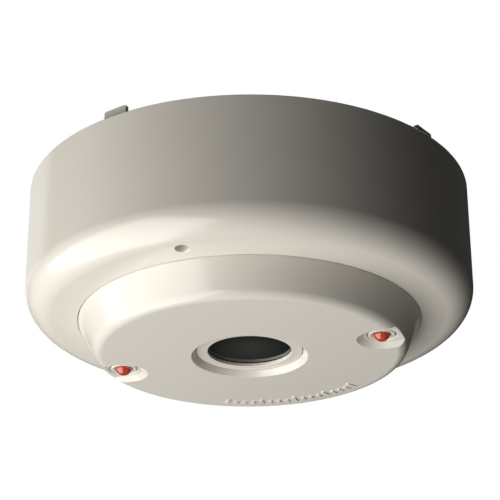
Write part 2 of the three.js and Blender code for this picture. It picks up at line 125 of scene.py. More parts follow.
def makeWorld(s):
    skyWorld = bpy.data.worlds.new("studio")
    skyWorld.use_nodes = True
    tree = skyWorld.node_tree
    tree.nodes.clear()
    seen, glow = tree.nodes.new("ShaderNodeBackground"), tree.nodes.new("ShaderNodeBackground")
    seen.inputs["Color"].default_value = (*s["seen"], 1)
    glow.inputs["Color"].default_value = (*s["light"], 1)
    glow.inputs["Strength"].default_value = s["lightStrength"]
    path, mix = tree.nodes.new("ShaderNodeLightPath"), tree.nodes.new("ShaderNodeMixShader")
    out = tree.nodes.new("ShaderNodeOutputWorld")
    tree.links.new(path.outputs["Is Camera Ray"], mix.inputs["Fac"])
    tree.links.new(glow.outputs["Background"], mix.inputs[1])
    tree.links.new(seen.outputs["Background"], mix.inputs[2])
    tree.links.new(mix.outputs["Shader"], out.inputs["Surface"])
    bpy.context.scene.world = skyWorld
    bpy.context.scene.view_settings.view_transform = "Standard"


floor = {"drop": 700, "side": 6000, "color": (1.0, 1.0, 1.0), "paint": (0.8, 0.8, 0.79)}


def makeFloor(s):
    mesh = bpy.data.meshes.new("floor")
    half = s["side"] * mm / 2
    z = cadLow.z - s["drop"] * mm
    corners = [(-half, -half, z), (half, -half, z), (half, half, z), (-half, half, z)]
    mesh.from_pydata(corners, [], [(0, 1, 2, 3)])
    piece = bpy.data.objects.new("floor", mesh)
    bpy.context.scene.collection.objects.link(piece)
    material = bpy.data.materials.new("floorPaint")
    material.use_nodes = True
    tree = material.node_tree
    shader = tree.nodes["Principled BSDF"]
    shader.inputs["Base Color"].default_value = (*s["paint"], 1)
    shader.inputs["Roughness"].default_value = 0.9
    # the floor shows pale without lighting the object
    seen = tree.nodes.new("ShaderNodeEmission")
    seen.inputs["Color"].default_value = (*s["color"], 1)
    path, mix = tree.nodes.new("ShaderNodeLightPath"), tree.nodes.new("ShaderNodeMixShader")
    tree.links.new(path.outputs["Is Camera Ray"], mix.inputs["Fac"])
    tree.links.new(shader.outputs["BSDF"], mix.inputs[1])
    tree.links.new(seen.outputs["Emission"], mix.inputs[2])
    tree.links.new(mix.outputs["Shader"], tree.nodes["Material Output"].inputs["Surface"])
    mesh.materials.append(material)


makeCamera(camera)
for lightName, lightSettings in lights.items():
    makeLight(lightName, lightSettings)
makeWorld(world)
makeFloor(floor)
print("stage ready")


# shader node groups that the materials share

def makeGroup(name, inputs, outputs):
    group = bpy.data.node_groups.new(name, "ShaderNodeTree")
    for label, value in inputs:
        socket = group.interface.new_socket(label, in_out="INPUT", socket_type="NodeSocketFloat")
        socket.default_value = value
    for label in outputs:
        group.interface.new_socket(label, in_out="OUTPUT", socket_type="NodeSocketFloat")
    return group, group.nodes.new("NodeGroupInput"), group.nodes.new("NodeGroupOutput")


def mathNode(tree, operation, first, second=None):
    node = tree.nodes.new("ShaderNodeMath")
    node.operation = operation
    for slot, value in ((0, first), (1, second)):
        if value is None:
            continue
        if isinstance(value, (int, float)):
            node.inputs[slot].default_value = value
        else:
            tree.links.new(value, node.inputs[slot])
    return node.outputs[0]


def objectNoise(tree, scale, detail=4.0, stretch=None):
    place = tree.nodes.new("ShaderNodeTexCoord").outputs["Object"]
    if stretch is not None:
        mapping = tree.nodes.new("ShaderNodeMapping")
        mapping.inputs["Scale"].default_value = stretch
        tree.links.new(place, mapping.inputs["Vector"])
        place = mapping.outputs["Vector"]
    noise = tree.nodes.new("ShaderNodeTexNoise")
    noise.inputs["Detail"].default_value = detail
    tree.links.new(place, noise.inputs["Vector"])
    if isinstance(scale, (int, float)):
        noise.inputs["Scale"].default_value = scale
    else:
        tree.links.new(scale, noise.inputs["Scale"])
    return noise.outputs["Fac"]


def ramp(tree, value, low, high, fromValue=0.0, toValue=1.0):
    node = tree.nodes.new("ShaderNodeMapRange")
    node.inputs["From Min"].default_value = low
    node.inputs["From Max"].default_value = high
    node.inputs["To Min"].default_value = fromValue
    node.inputs["To Max"].default_value = toValue
    tree.links.new(value, node.inputs["Value"])
    return node.outputs["Result"]


def buildGrain():
    # fine moulded texture: Height for bump, Tone for slow colour drift, Spread for roughness
    group, inlet, outlet = makeGroup("mouldedGrain", (("Scale", 2600.0), ("Drift Scale", 60.0)),
                                     ("Height", "Tone", "Spread"))
    fine = objectNoise(group, inlet.outputs["Scale"], 3.0)
    slow = objectNoise(group, inlet.outputs["Drift Scale"], 2.0)
    group.links.new(fine, outlet.inputs["Height"])
    group.links.new(ramp(group, slow, 0.3, 0.7), outlet.inputs["Tone"])
    mixed = mathNode(group, "MULTIPLY", mathNode(group, "ADD", fine, slow), 0.5)
    group.links.new(ramp(group, mixed, 0.35, 0.65), outlet.inputs["Spread"])
    return group


def buildEdgeWear():
    # light rubbed edges from the mesh's own curvature, broken up by noise
    group, inlet, outlet = makeGroup("edgeWear", (("Amount", 1.0), ("Breakup", 500.0)), ("Mask",))
    point = group.nodes.new("ShaderNodeNewGeometry").outputs["Pointiness"]
    edge = ramp(group, point, 0.52, 0.62)
    rough = ramp(group, objectNoise(group, inlet.outputs["Breakup"], 5.0), 0.42, 0.62)
    both = mathNode(group, "MULTIPLY", mathNode(group, "MULTIPLY", edge, rough), inlet.outputs["Amount"])
    group.links.new(mathNode(group, "MINIMUM", both, 1.0), outlet.inputs["Mask"])
    return group


def buildDustAndCornerShade():
    # thin settled dust on faces that look up, plus painted shade in corners and creases, where an occlusion mask
    # darkens them
    group, inlet, outlet = makeGroup("dustAndCornerShade", (("Amount", 1.0), ("Reach", 0.003)), ("Mask",))
    normal = group.nodes.new("ShaderNodeNewGeometry").outputs["Normal"]
    split = group.nodes.new("ShaderNodeSeparateXYZ")
    group.links.new(normal, split.inputs["Vector"])
    upward = ramp(group, split.outputs["Z"], 0.3, 1.0)
    corner = group.nodes.new("ShaderNodeAmbientOcclusion")
    corner.samples = 4
    group.links.new(inlet.outputs["Reach"], corner.inputs["Distance"])
    # painted shade: occluded corners and creases take the dust colour
    paintedCornerShade = ramp(group, corner.outputs["AO"], 0.75, 0.25)
    patch = ramp(group, objectNoise(group, 180.0, 5.0), 0.35, 0.7)
    dustAndShadeMask = mathNode(group, "MULTIPLY", mathNode(group, "MAXIMUM", upward, paintedCornerShade), patch)
    group.links.new(mathNode(group, "MULTIPLY", dustAndShadeMask, inlet.outputs["Amount"]), outlet.inputs["Mask"])
    return group


def buildBrushing():
    # drawn or rolled metal: long fine lines along the object's X
    group, inlet, outlet = makeGroup("brushing", (("Scale", 900.0),), ("Height", "Tone"))
    lines = objectNoise(group, inlet.outputs["Scale"], 4.0, (0.06, 1.0, 1.0))
    blotch = objectNoise(group, 140.0, 3.0)
    group.links.new(lines, outlet.inputs["Height"])
    mixed = mathNode(group, "MULTIPLY", mathNode(group, "ADD", lines, blotch), 0.5)
    group.links.new(ramp(group, mixed, 0.35, 0.65), outlet.inputs["Tone"])
    return group


def buildCentreReflection():
    # painted reflection: a soft round brightening about the Z axis, from full at Inner to nothing at Outer (both
    # in metres)
    group, inlet, outlet = makeGroup("paintedCentreReflection", (("Inner", 0.002), ("Outer", 0.01)), ("Mask",))
    split = group.nodes.new("ShaderNodeSeparateXYZ")
    group.links.new(group.nodes.new("ShaderNodeTexCoord").outputs["Object"], split.inputs["Vector"])
    squares = mathNode(group, "ADD", mathNode(group, "POWER", split.outputs["X"], 2.0),
                       mathNode(group, "POWER", split.outputs["Y"], 2.0))
    fade = group.nodes.new("ShaderNodeMapRange")
    group.links.new(mathNode(group, "SQRT", squares), fade.inputs["Value"])
    group.links.new(inlet.outputs["Inner"], fade.inputs["From Min"])
    group.links.new(inlet.outputs["Outer"], fade.inputs["From Max"])
    fade.inputs["To Min"].default_value = 1.0
    fade.inputs["To Max"].default_value = 0.0
    group.links.new(fade.outputs["Result"], outlet.inputs["Mask"])
    return group


grainGroup = buildGrain()
reflectionGroup = buildCentreReflection()
wearGroup = buildEdgeWear()
dustShadeGroup = buildDustAndCornerShade()
brushGroup = buildBrushing()


def placeGroup(tree, group, **values):
    node = tree.nodes.new("ShaderNodeGroup")
    node.node_tree = group
    for label, value in values.items():
        node.inputs[label.replace("_", " ")].default_value = value
    return node


def mixColor(tree, factor, first, second):
    node = tree.nodes.new("ShaderNodeMix")
    node.data_type = "RGBA"
    tree.links.new(factor, node.inputs["Factor"])
    for slot, value in (("A", first), ("B", second)):
        if isinstance(value, tuple):
            node.inputs[6 if slot == "A" else 7].default_value = (*value, 1)
        else:
            tree.links.new(value, node.inputs[6 if slot == "A" else 7])
    return node.outputs[2]


def spreadRoughness(tree, value, span, shader):
    tree.links.new(ramp(tree, value, 0.0, 1.0, *span), shader.inputs["Roughness"])


def bumpNode(tree, height, distance, strength=1.0):
    bump = tree.nodes.new("ShaderNodeBump")
    bump.inputs["Distance"].default_value = distance
    bump.inputs["Strength"].default_value = strength
    tree.links.new(height, bump.inputs["Height"])
    return bump.outputs["Normal"]


def plasticMaterial(name, s):
    material = bpy.data.materials.new(name)
    material.use_nodes = True
    tree = material.node_tree
    shader = tree.nodes["Principled BSDF"]
    grain = placeGroup(tree, grainGroup, Scale=s["grainScale"], Drift_Scale=s.get("driftScale", 60.0))
    wear = placeGroup(tree, wearGroup, Amount=s.get("wear", 0.3))
    dust = placeGroup(tree, dustShadeGroup, Amount=s.get("dust", 0.2))
    body = mixColor(tree, grain.outputs["Tone"], s["color"], s["shade"])
    worn = mixColor(tree, wear.outputs["Mask"], body, s.get("wornColor", s["color"]))
    # the dust mask also lays painted shade into corners and creases
    tree.links.new(mixColor(tree, dust.outputs["Mask"], worn, s.get("dustColor", (0.42, 0.39, 0.34))),
                   shader.inputs["Base Color"])
    low, high = s["roughness"]
    spread = ramp(tree, grain.outputs["Spread"], 0.0, 1.0, low, high)
    dustAndShadeRoughness = mathNode(tree, "MULTIPLY", dust.outputs["Mask"], 0.4)
    tree.links.new(mathNode(tree, "ADD", spread, dustAndShadeRoughness), shader.inputs["Roughness"])
    tree.links.new(bumpNode(tree, grain.outputs["Height"], s["grainDepth"]), shader.inputs["Normal"])
    shader.inputs["IOR"].default_value = s.get("ior", 1.5)
    shader.inputs["Subsurface Weight"].default_value = s.get("subsurface", 0.0)
    shader.inputs["Subsurface Radius"].default_value = (0.0012, 0.001, 0.0008)
    shader.inputs["Coat Weight"].default_value = s.get("coat", 0.0)
    shader.inputs["Coat Roughness"].default_value = s.get("coatRoughness", 0.1)
    return material


def metalMaterial(name, s):
    material = bpy.data.materials.new(name)
    material.use_nodes = True
    tree = material.node_tree
    shader = tree.nodes["Principled BSDF"]
    brush = placeGroup(tree, brushGroup, Scale=s.get("brushScale", 900.0))
    wear = placeGroup(tree, wearGroup, Amount=s.get("wear", 0.5))
    dust = placeGroup(tree, dustShadeGroup, Amount=s.get("dust", 0.15))
    body = mixColor(tree, brush.outputs["Tone"], s["color"], s["shade"])
    worn = mixColor(tree, wear.outputs["Mask"], body, s.get("wornColor", (0.93, 0.93, 0.93)))
    # the dust mask also lays painted shade into corners and creases
    dustAndShadeMixed = mixColor(tree, dust.outputs["Mask"], worn, (0.3, 0.28, 0.25))
    tree.links.new(dustAndShadeMixed, shader.inputs["Base Color"])
    spreadRoughness(tree, brush.outputs["Tone"], s["roughness"], shader)
    bump = bumpNode(tree, brush.outputs["Height"], s.get("brushDepth", 0.00001))
    tree.links.new(bump, shader.inputs["Normal"])
    shader.inputs["Metallic"].default_value = 1.0
    return material


def windowMaterial(name, s):
    material = bpy.data.materials.new(name)
    material.use_nodes = True
    tree = material.node_tree
    shader = tree.nodes["Principled BSDF"]
    grain = placeGroup(tree, grainGroup, Scale=s["grainScale"], Drift_Scale=90.0)
    dust = placeGroup(tree, dustShadeGroup, Amount=s["dust"], Reach=0.0015)
    centre = placeGroup(tree, reflectionGroup, Inner=s["reflectionSpan"][0], Outer=s["reflectionSpan"][1])
    clear = mixColor(tree, grain.outputs["Tone"], s["color"], s["shade"])
    # painted reflection: the pane's colour is lightened towards its centre
    body = mixColor(tree, centre.outputs["Mask"], clear, s["reflectionColor"])
    # the dust mask also lays painted shade into corners and creases
    dustAndShadeMixed = mixColor(tree, dust.outputs["Mask"], body, (0.3, 0.29, 0.27))
    tree.links.new(dustAndShadeMixed, shader.inputs["Base Color"])
    spreadRoughness(tree, grain.outputs["Spread"], s["roughness"], shader)
    tree.links.new(bumpNode(tree, grain.outputs["Height"], s["grainDepth"]), shader.inputs["Normal"])
    shader.inputs["IOR"].default_value = s["ior"]
    shader.inputs["Coat Weight"].default_value = 1.0
    shader.inputs["Coat Roughness"].default_value = 0.03
    return material


def lensMaterial(name, s):
    material = bpy.data.materials.new(name)
    material.use_nodes = True
    tree = material.node_tree
    shader = tree.nodes["Principled BSDF"]
    grain = placeGroup(tree, grainGroup, Scale=s["grainScale"], Drift_Scale=500.0)
    body = mixColor(tree, grain.outputs["Tone"], s["color"], s["shade"])
    tree.links.new(body, shader.inputs["Base Color"])
    spreadRoughness(tree, grain.outputs["Spread"], s["roughness"], shader)
    tree.links.new(bumpNode(tree, grain.outputs["Height"], s["grainDepth"]), shader.inputs["Normal"])
    # painted glow: the lens emits a weak red light, as if lit from within
    glow = mixColor(tree, grain.outputs["Tone"], s["glow"], s["glowShade"])
    tree.links.new(glow, shader.inputs["Emission Color"])
    shader.inputs["Emission Strength"].default_value = s["glowStrength"]
    shader.inputs["Subsurface Weight"].default_value = 0.4
    shader.inputs["Subsurface Radius"].default_value = (0.002, 0.0006, 0.0003)
    shader.inputs["Coat Weight"].default_value = 1.0
    shader.inputs["Coat Roughness"].default_value = 0.05
    return material


# each "dust" amount below also sets how much painted shade falls in corners and creases
finishes = {
    "coverPlastic": plasticMaterial("coverPlastic", {
        "color": (0.80, 0.765, 0.69), "shade": (0.785, 0.747, 0.668), "wornColor": (0.83, 0.80, 0.73),
        "roughness": (0.17, 0.24), "grainScale": 1500.0, "grainDepth": 0.0000008,
        "subsurface": 0.06, "wear": 0.2, "dust": 0.03, "coat": 0.15, "coatRoughness": 0.12}),
    "basePlastic": plasticMaterial("basePlastic", {
        "color": (0.70, 0.67, 0.60), "shade": (0.65, 0.615, 0.54), "wornColor": (0.78, 0.75, 0.69),
        "roughness": (0.42, 0.55), "grainScale": 1800.0, "grainDepth": 0.00001, "wear": 0.3, "dust": 0.08}),
    "insertPlastic": plasticMaterial("insertPlastic", {
        "color": (0.84, 0.83, 0.80), "shade": (0.80, 0.79, 0.75),
        "roughness": (0.18, 0.28), "grainScale": 3000.0, "grainDepth": 0.000002,
        "subsurface": 0.1, "wear": 0.2, "dust": 0.12, "coat": 0.3}),
    "blackPlastic": plasticMaterial("blackPlastic", {
        "color": (0.022, 0.022, 0.024), "shade": (0.035, 0.034, 0.034), "wornColor": (0.09, 0.09, 0.09),
        "roughness": (0.42, 0.6), "grainScale": 1500.0, "grainDepth": 0.000015, "wear": 0.4, "dust": 0.07}),
    "sealRubber": plasticMaterial("sealRubber", {
        "color": (0.018, 0.018, 0.018), "shade": (0.03, 0.03, 0.029), "wornColor": (0.06, 0.06, 0.06),
        "roughness": (0.6, 0.8), "grainScale": 2200.0, "grainDepth": 0.00002, "wear": 0.3, "dust": 0.15}),
    "boardMask": plasticMaterial("boardMask", {
        "color": (0.012, 0.12, 0.045), "shade": (0.008, 0.085, 0.03), "wornColor": (0.03, 0.2, 0.09),
        "roughness": (0.25, 0.4), "grainScale": 1200.0, "grainDepth": 0.00001, "driftScale": 240.0,
        "wear": 0.2, "dust": 0.06}),
    "labelPaper": plasticMaterial("labelPaper", {
        "color": (0.82, 0.82, 0.79), "shade": (0.76, 0.76, 0.72), "roughness": (0.5, 0.7),
        "grainScale": 3200.0, "grainDepth": 0.00002, "wear": 0.1, "dust": 0.2}),
    "dippedCoating": plasticMaterial("dippedCoating", {
        "color": (0.50, 0.23, 0.05), "shade": (0.42, 0.18, 0.035), "roughness": (0.3, 0.45),
        "grainScale": 900.0, "grainDepth": 0.00003, "wear": 0.2, "dust": 0.06}),
    "zincSteel": metalMaterial("zincSteel", {
        "color": (0.62, 0.63, 0.65), "shade": (0.50, 0.51, 0.54), "roughness": (0.22, 0.4)}),
    "rolledBrass": metalMaterial("rolledBrass", {
        "color": (0.78, 0.57, 0.26), "shade": (0.66, 0.46, 0.19), "roughness": (0.2, 0.36),
        "wornColor": (0.93, 0.76, 0.44)}),
    "tinnedMetal": metalMaterial("tinnedMetal", {
        "color": (0.72, 0.73, 0.73), "shade": (0.62, 0.63, 0.64), "roughness": (0.28, 0.42)}),
    # the dark window carries a painted reflection, a lighter colour at its centre
    "darkWindow": windowMaterial("darkWindow", {
        "color": (0.006, 0.0065, 0.006), "shade": (0.009, 0.009, 0.008), "reflectionColor": (0.045, 0.05, 0.046),
        "reflectionSpan": (0.001, 0.0098), "roughness": (0.05, 0.09), "grainScale": 700.0, "grainDepth": 0.000001,
        "dust": 0.08, "ior": 1.55}),
    # the red lens carries a weak painted glow
    "redLens": lensMaterial("redLens", {
        "color": (0.56, 0.07, 0.03), "shade": (0.44, 0.045, 0.02), "glow": (1.0, 0.12, 0.04),
        "glowShade": (0.9, 0.08, 0.03), "glowStrength": 0.05, "roughness": (0.1, 0.18),
        "grainScale": 1500.0, "grainDepth": 0.000002}),
}
slotFinish = {
    "cover_plastic": "coverPlastic",
    "base_plastic": "basePlastic",
    "insert_plastic": "insertPlastic",
    "black_plastic": "blackPlastic",
    "lens_plastic": "redLens",
    "window_glass": "darkWindow",
    "rubber": "sealRubber",
    "board": "boardMask",
    "paper": "labelPaper",
    "ceramic": "dippedCoating",
    "steel": "zincSteel",
    "brass": "rolledBrass",
    "tin": "tinnedMetal",
}
print("materials ready")


# mesh tools

def polar(radius, azimuth):
    angle = math.radians(azimuth)
    return Vector((radius * math.sin(angle), -radius * math.cos(angle), 0))


def azimuthOf(point):
    return math.degrees(math.atan2(point[0], -point[1]))


def roundedLine(corners, closed, steps=6):
    # corners are (across, up) or (across, up, radius); each radius becomes an arc that touches both sides
    points, count = [], len(corners)
    for i, corner in enumerate(corners):
        here = Vector(corner[:2])
        radius = corner[2] if len(corner) > 2 else 0
        if radius == 0 or (not closed and i in (0, count - 1)):
            points.append(here)
            continue
        back = Vector(corners[i - 1][:2]) - here
        ahead = Vector(corners[(i + 1) % count][:2]) - here
        back, aheadRoom, backRoom = back.normalized(), ahead.length, back.length
        ahead = ahead.normalized()
        half = back.angle(ahead) / 2
        reach = min(radius / math.tan(half), backRoom * 0.49, aheadRoom * 0.49)
        radius = reach * math.tan(half)
        centre = here + (back + ahead).normalized() * (radius / math.sin(half))
        start, end = here + back * reach - centre, here + ahead * reach - centre
        sweep = start.angle_signed(end)
        for k in range(steps + 1):
            turn = -sweep * k / steps
            points.append(centre + Vector((start.x * math.cos(turn) - start.y * math.sin(turn),
                                           start.x * math.sin(turn) + start.y * math.cos(turn))))
    return points


def arcLine(centre, radii, startDegrees, endDegrees, steps):
    for k in range(steps + 1):
        angle = math.radians(startDegrees + (endDegrees - startDegrees) * k / steps)
        yield (centre[0] + radii[0] * math.cos(angle), centre[1] + radii[1] * math.sin(angle))


def pieceFrom(name, bm):
    bmesh.ops.remove_doubles(bm, verts=bm.verts, dist=1e-7)
    bmesh.ops.recalc_face_normals(bm, faces=bm.faces)
    mesh = bpy.data.meshes.new(name)
    bm.to_mesh(mesh)
    bm.free()
    piece = bpy.data.objects.new(name, mesh)
    bpy.context.scene.collection.objects.link(piece)
    return piece


def lathe(name, line, segments=192, centre=(0, 0), runOut=0.0):
    # line is a list of (radius, z) in mm; points on the axis close the ends
    # runOut draws the side that faces away from the Z axis outwards by that much
    away = Vector((*centre, 0)).normalized()
    bm = bmesh.new()
    rings = []
    for radius, z in line:
        ring = []
        for k in range(segments if radius > 1e-6 else 1):
            around = Vector((math.cos(math.tau * k / segments), math.sin(math.tau * k / segments), 0))
            shift = away * (runOut if radius > 1e-6 and around.dot(away) > 0 else 0)
            ring.append(bm.verts.new((Vector((*centre, z)) + around * radius + shift) * mm))
        rings.append(ring)
    onAxis = len(rings[0]) == 1 and len(rings[-1]) == 1
    pairs = list(zip(rings, rings[1:])) + ([] if onAxis else [(rings[-1], rings[0])])
    for lower, upper in pairs:
        for k in range(segments):
            corners = [lower[k % len(lower)], lower[(k + 1) % len(lower)],
                       upper[(k + 1) % len(upper)], upper[k % len(upper)]]
            unique = list(dict.fromkeys(corners))
            if len(unique) > 2:
                bm.faces.new(unique)
    return pieceFrom(name, bm)


def prism(name, outline, lowZ, highZ, bevel=0.0, bevelSteps=2):
    # outline is a list of (x, y) in mm, in order
    bm = bmesh.new()
    lower = [bm.verts.new((x * mm, y * mm, lowZ * mm)) for x, y in outline]
    upper = [bm.verts.new((x * mm, y * mm, highZ * mm)) for x, y in outline]
    bm.faces.new(lower[::-1])
    bm.faces.new(upper)
    count = len(outline)
    for k in range(count):
        bm.faces.new((lower[k], lower[(k + 1) % count], upper[(k + 1) % count], upper[k]))
    if bevel:
        rim = [e for e in bm.edges if abs(e.verts[0].co.z - e.verts[1].co.z) < 1e-9]
        bmesh.ops.bevel(bm, geom=rim, offset=bevel * mm, segments=bevelSteps, profile=0.5, affect="EDGES")
    return pieceFrom(name, bm)


def roundedRectangle(width, depth, corner, steps=5, centre=(0, 0)):
    half, deep = width / 2, depth / 2
    corners = [(-half, -deep, corner), (half, -deep, corner), (half, deep, corner), (-half, deep, corner)]
    return [(p[0] + centre[0], p[1] + centre[1]) for p in roundedLine(corners, True, steps)]


def turnPiece(piece, azimuth, offset=(0, 0, 0)):
    turn = Matrix.Rotation(math.radians(azimuth), 4, "Z")
    piece.data.transform(turn @ Matrix.Translation(Vector(offset) * mm))
    return piece


# a rounded line turned about an upright axis, given as for roundedLine
def turned(name, corners, segments, centre=(0, 0), closed=False, steps=5):
    return lathe(name, [tuple(p) for p in roundedLine(corners, closed, steps)], segments, centre)


def cylinder(name, radius, lowZ, highZ, segments=48, centre=(0, 0)):
    return lathe(name, [(0, lowZ), (radius, lowZ), (radius, highZ), (0, highZ)], segments, centre)


def applied(piece):
    bpy.context.view_layer.update()
    mesh = bpy.data.meshes.new_from_object(piece.evaluated_get(bpy.context.evaluated_depsgraph_get()))
    piece.modifiers.clear()
    piece.data = mesh
    return piece


def combine(target, tools, operation):
    for tool in tools:
        boolean = target.modifiers.new("combine", "BOOLEAN")
        boolean.operation = operation
        boolean.solver = "EXACT"
        boolean.object = tool
        applied(target)
        bpy.data.objects.remove(tool)
    return target


def joinMeshes(name, pieces):
    bm = bmesh.new()
    for piece in pieces:
        bm.from_mesh(piece.data)
        bpy.data.objects.remove(piece)
    mesh = bpy.data.meshes.new(name)
    bm.to_mesh(mesh)
    bm.free()
    joined = bpy.data.objects.new(name, mesh)
    bpy.context.scene.collection.objects.link(joined)
    return joined


def smoothShade(piece, angle=32):
    for polygon in piece.data.polygons:
        polygon.use_smooth = True
    piece.data.set_sharp_from_angle(angle=math.radians(angle))
    weighted = piece.modifiers.new("evenNormals", "WEIGHTED_NORMAL")
    weighted.keep_sharp = True
    weighted.weight = 80


def dress(piece, body, slotName, replaced=()):
    piece.data.materials.clear()
    piece.data.materials.append(finishes[slotFinish[slotName]])
    smoothShade(piece)
    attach(piece, body)
    if replaced:
        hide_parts(*replaced)
    return piece


# outer cover

def inMm(value):
    return value / mm


coverLow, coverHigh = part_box("outer_cover")
capLow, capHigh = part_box("front_cap")
faceZ = inMm(capLow.z)
coverRadius = inMm(coverHigh.x)
openingZ = inMm(coverLow.z)
lockLow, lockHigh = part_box("lock_screw")
lockCentre = (lockLow + lockHigh) / 2
lockAzimuth = azimuthOf(lockCentre)
lockRadius = inMm(Vector(lockCentre[:2]).length)
screwAzimuths = {i: azimuthOf((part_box(f"chassis_screw_{i}")[0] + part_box(f"chassis_screw_{i}")[1]) / 2)
                 for i in (1, 2, 3)}
screwRadius = 42.0

cover = {
    "wall": 2.0,
    "wallEnd": -27.5,
    "rimTop": -3.54,
    "shoulder": (6.54, 6.24),
    "openingRadius": 38.2,
    "lipRadius": 0.3,
    "toolHoleRadius": 1.5,
    "tubeRadius": 2.4,
    "tubeSpan": (-32.2, -21.0),
    "bossRadius": 3.0,
    "bossSpan": (-32.6, -19.5),
    "bossHole": 1.45,
    "bossHoleSpan": (-31, -18),
}


def makeCover(s):
    inner = coverRadius - s["wall"]
    wide, deep = s["shoulder"]
    centre = (coverRadius - wide, s["wallEnd"])
    top = s["rimTop"]
    outerLine = roundedLine([(inner, top - 20), (inner, top, 0.35), (coverRadius, top, 0.18),
                             (coverRadius, top - 20)], False, 5)[1:-1]
    shoulder = list(arcLine(centre, s["shoulder"], 0, -90, 40))
    innerShoulder = list(arcLine(centre, (wide - s["wall"], deep - 1.6), -90, 0, 16))
    opening = roundedLine([shoulder[-1], (s["openingRadius"], openingZ, s["lipRadius"]),
                           (s["openingRadius"], openingZ + 2.4, 0.15), innerShoulder[0]], False, 6)[1:-1]
    line = [tuple(p) for p in outerLine] + shoulder + [tuple(p) for p in opening] + innerShoulder
    shell = lathe("cover_shell", line, 256)
    lockPlace = polar(lockRadius, lockAzimuth)
    bossR, (bossLow, bossHigh) = s["bossRadius"], s["bossSpan"]
    bossLine = [(0, bossLow), (bossR, bossLow), (bossR, bossHigh - 0.2),
                (bossR - 0.2, bossHigh), (0, bossHigh)]
    places = [polar(screwRadius, a)[:2] for a in screwAzimuths.values()]
    bosses = [lathe("boss", bossLine, 48, place) for place in places]
    bosses.append(cylinder("tube", s["tubeRadius"], *s["tubeSpan"], 48, lockPlace[:2]))
    combine(shell, bosses, "UNION")
    holes = [cylinder("hole", s["bossHole"], *s["bossHoleSpan"], 32, place) for place in places]
    mouthZ = openingZ + 0.46
    r = s["toolHoleRadius"]
    toolLine = [(0, -38), (r + 2.2, -38), (r + 0.22, mouthZ - 0.35), (r, mouthZ), (r, -18), (0, -18)]
    holes.append(lathe("toolHole", toolLine, 64, lockPlace[:2]))
    combine(shell, holes, "DIFFERENCE")
    return dress(shell, "head", "cover_plastic", ["outer_cover"])


makeCover(cover)
print("cover ready")


# front cap with its window mouth, indicator pockets and raised ticks

lensBoxes = {i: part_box(f"led_lens_{i}") for i in (1, 2)}
indicatorAzimuths = {i: azimuthOf((b[0] + b[1]) / 2) for i, b in lensBoxes.items()}
indicatorRadius = 30.3

cap = {
    "riserTop": (38.08, -34.2),
    "edge": (34.2, faceZ, 2.8),
    "wall": 2.0,
    "mouthRadius": 12.8,
    "mouthDepth": 1.27,
    "floorRadius": 11.9,
    "collar": (11.2, 13.9),
    "collarTop": -36.5,
    "flange": (41.5, -31.6, -30.0),
    "padRadius": 6.4,
    "padSpan": (faceZ + 1.7, faceZ + 3.2),
    "pocketMouth": 5.5,
    "pocketFloor": 3.9,
    "pocketDepth": 1.0,
    "pocketRunOut": 4.0,
    "insertHole": 3.2,
    "notchSpan": (-33, -29),
    "screwNotch": 3.4,
    "lockNotch": 3.2,
    "tickBand": (28.4, 31.0),
    "tickSpan": (128, 190),
    "tickCount": 17,
    "tickWidth": 0.8,
    "tickHeight": 0.25,
}


